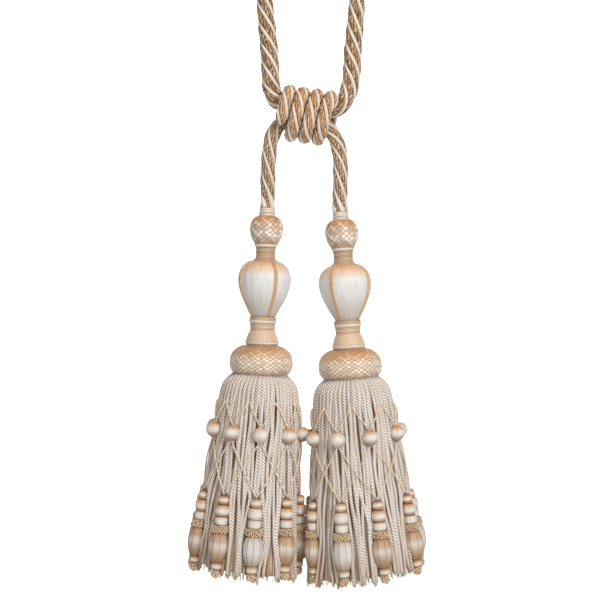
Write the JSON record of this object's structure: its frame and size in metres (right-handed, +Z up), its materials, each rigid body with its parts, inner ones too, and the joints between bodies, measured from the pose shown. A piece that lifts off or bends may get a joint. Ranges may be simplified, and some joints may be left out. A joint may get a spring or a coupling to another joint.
{
  "type": "curtain tieback with two key tassels",
  "caption": "Twisted rope loop in a barrel knot that carries two key tassels with turned heads, corded skirts, a beaded net and hanging drops.",
  "frame": {"origin": "inside the top of the rope's loop, where the hook bears", "axes": "+Z up, the front of the tassels faces -Y, +X to the right seen from the front"},
  "size_m": [0.1916, 0.1016, 0.5265],
  "materials": {
    "gold_rope": "laid yarn with smooth gimp strands",
    "ivory_thread": "wound thread",
    "plaited_silk": "plaited floss silk",
    "wound_thread": "closely wound thread",
    "ivory_satin": "satin floss laid lengthwise",
    "tan_gimp": "twisted gimp",
    "skirt_cord": "two-ply twisted cord",
    "net_cord": "thin cord and silk-wound beads",
    "drop_silk": "wound floss silk"
  },
  "bodies": {
    "root": {"rope": "gold_rope", "knot_wrap": "gold_rope", "left_collar": "ivory_thread", "left_ball": "plaited_silk", "left_neck_ring": "ivory_thread", "left_neck_upper": "wound_thread", "left_bulb": "ivory_satin", "left_bulb_rib_1": "tan_gimp", "left_bulb_rib_2": "tan_gimp", "left_bulb_rib_3": "tan_gimp", "left_bulb_rib_4": "tan_gimp", "left_waist_ring": "ivory_thread", "left_neck_lower": "wound_thread", "left_bun_ring": "ivory_thread", "left_bun": "plaited_silk", "left_skirt": "skirt_cord", "left_net": "net_cord", "left_drop_1": "drop_silk", "left_drop_2": "drop_silk", "left_drop_3": "drop_silk", "left_drop_4": "drop_silk", "left_drop_5": "drop_silk", "left_drop_6": "drop_silk", "left_drop_7": "drop_silk", "left_drop_8": "drop_silk", "left_drop_9": "drop_silk", "right_collar": "ivory_thread", "right_ball": "plaited_silk", "right_neck_ring": "ivory_thread", "right_neck_upper": "wound_thread", "right_bulb": "ivory_satin", "right_bulb_rib_1": "tan_gimp", "right_bulb_rib_2": "tan_gimp", "right_bulb_rib_3": "tan_gimp", "right_bulb_rib_4": "tan_gimp", "right_waist_ring": "ivory_thread", "right_neck_lower": "wound_thread", "right_bun_ring": "ivory_thread", "right_bun": "plaited_silk", "right_skirt": "skirt_cord", "right_net": "net_cord", "right_drop_1": "drop_silk", "right_drop_2": "drop_silk", "right_drop_3": "drop_silk", "right_drop_4": "drop_silk", "right_drop_5": "drop_silk", "right_drop_6": "drop_silk", "right_drop_7": "drop_silk", "right_drop_8": "drop_silk", "right_drop_9": "drop_silk"}
  },
  "joints": []
}
